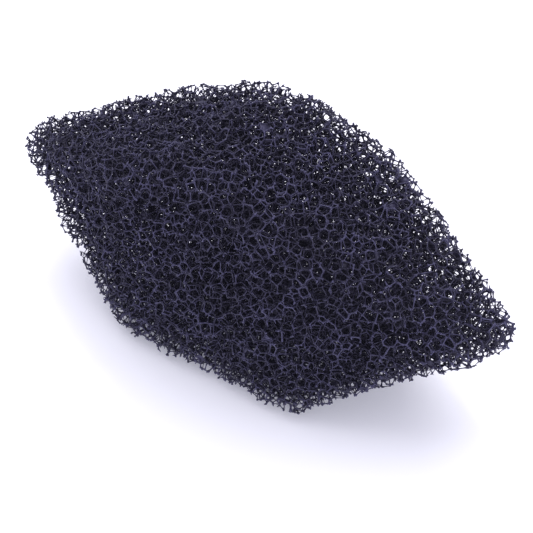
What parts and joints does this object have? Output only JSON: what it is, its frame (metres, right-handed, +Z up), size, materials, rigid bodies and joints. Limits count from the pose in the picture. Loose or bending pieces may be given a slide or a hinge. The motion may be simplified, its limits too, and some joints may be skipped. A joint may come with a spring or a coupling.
{
  "type": "sponge filter",
  "caption": "Loose block of dark open-cell filter foam with a flat base, two raised rounded ends and soft edges, for filtering pond or aquarium water.",
  "frame": {"origin": "centre of the footprint at the base, on the floor", "axes": "+X along the long diagonal from end to end, +Y across the block, +Z up"},
  "size_m": [0.0792, 0.0264, 0.0343],
  "materials": {
    "foam": null
  },
  "bodies": {
    "root": {"foam_block": "foam"}
  },
  "joints": []
}
